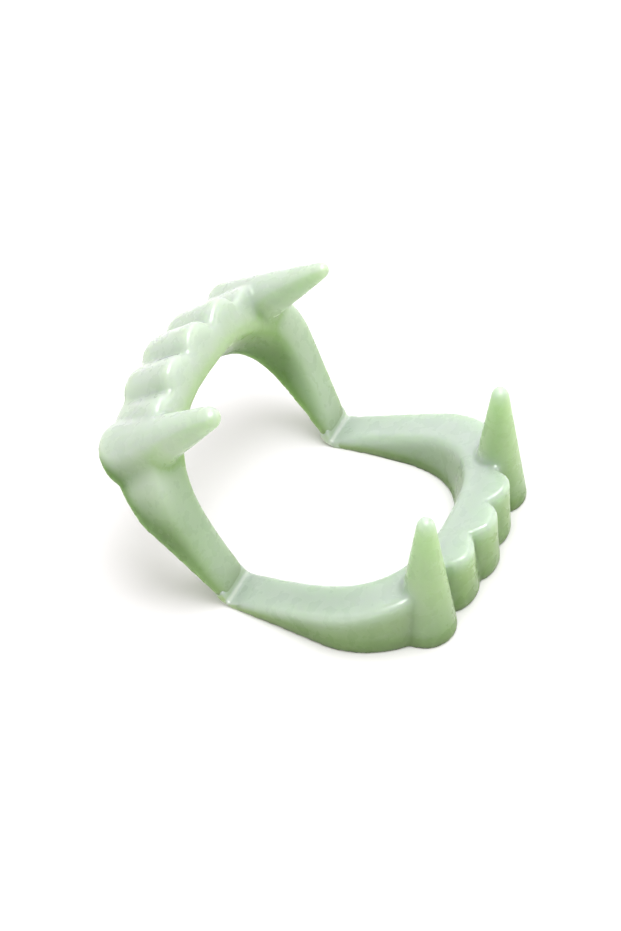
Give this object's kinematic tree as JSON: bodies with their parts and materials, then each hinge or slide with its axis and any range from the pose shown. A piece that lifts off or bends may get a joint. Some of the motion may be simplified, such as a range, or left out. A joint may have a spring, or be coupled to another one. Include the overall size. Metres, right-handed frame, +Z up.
{
  "type": "vampire fang denture",
  "caption": "Pale green glow-in-the-dark vampire teeth: upper and lower fanged arches of one soft moulding, joined by a thin living hinge at the back.",
  "frame": {"origin": "on the table, under the middle of the part's box", "axes": "+Z up, -Y towards the front teeth of the lower arch, X along the crease"},
  "size_m": [0.057, 0.0682, 0.0453],
  "materials": {
    "soft_glow_plastic": "translucent pale green soft plastic, satin gloss",
    "whitened_crease": "the same plastic, whitened by bending"
  },
  "bodies": {
    "lower": {"lower_arch": "soft_glow_plastic", "hinge_web_left": "whitened_crease", "hinge_web_right": "whitened_crease"},
    "upper": {"upper_arch": "soft_glow_plastic"}
  },
  "joints": [
    {"name": "crease", "type": "hinge", "parent": "lower", "child": "upper", "pos_m": [0, 0.0083, 0.00105], "axis": [1, 0, 0], "range_deg": [-54, 53]}
  ]
}
